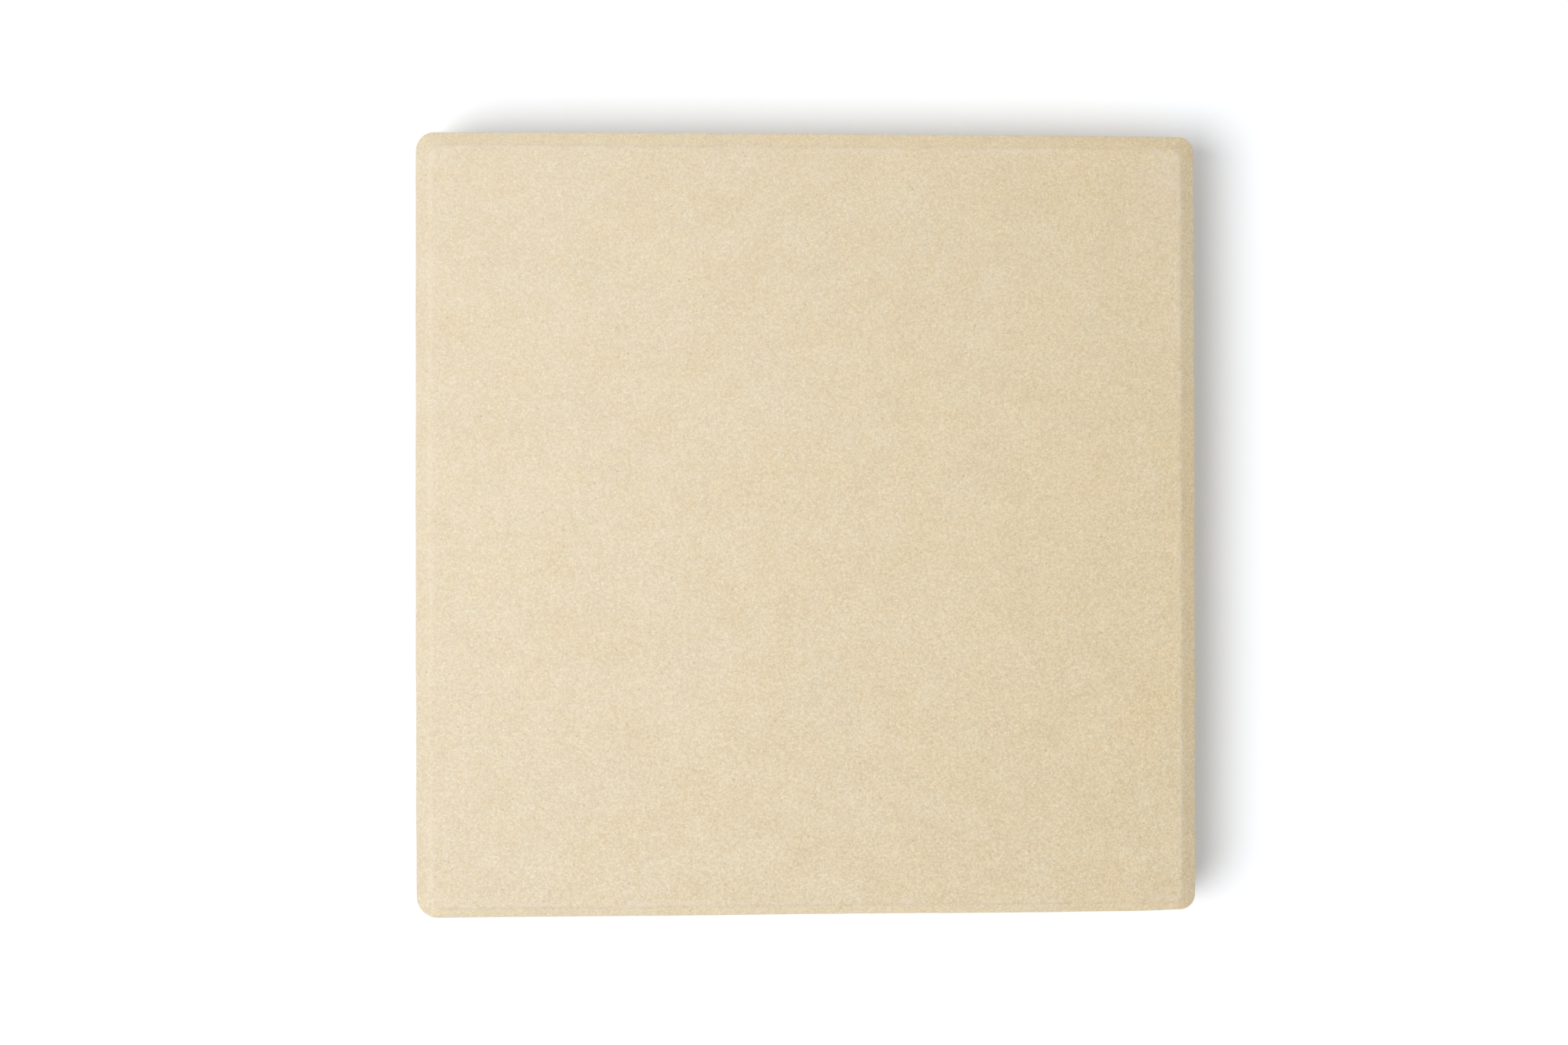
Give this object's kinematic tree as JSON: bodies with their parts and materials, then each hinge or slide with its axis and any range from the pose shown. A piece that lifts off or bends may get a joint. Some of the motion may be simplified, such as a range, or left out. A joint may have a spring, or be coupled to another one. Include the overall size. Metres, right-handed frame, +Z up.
{
  "type": "granite slab",
  "caption": "Square bevelled stone slab that gives leather a flat, heavy surface for tooling and stamping, standing on small stick-on rubber feet.",
  "frame": {"origin": "on the bench, under the middle of the slab, level with the feet's undersides", "axes": "+Z up, out of the work face; +X to the right and +Y to the back, along the slab's sides"},
  "size_m": [0.305, 0.305, 0.0348],
  "materials": {
    "stone": "honed, matte, fine sandy grain",
    "rubber": "moulded, matte",
    "foam_tape": "closed-cell foam, matte"
  },
  "bodies": {
    "root": {"stone_slab": "stone", "foot_front_left": "rubber", "adhesive_disc_front_left": "foam_tape", "foot_front_right": "rubber", "adhesive_disc_front_right": "foam_tape", "foot_back_left": "rubber", "adhesive_disc_back_left": "foam_tape", "foot_back_right": "rubber", "adhesive_disc_back_right": "foam_tape"}
  },
  "joints": []
}
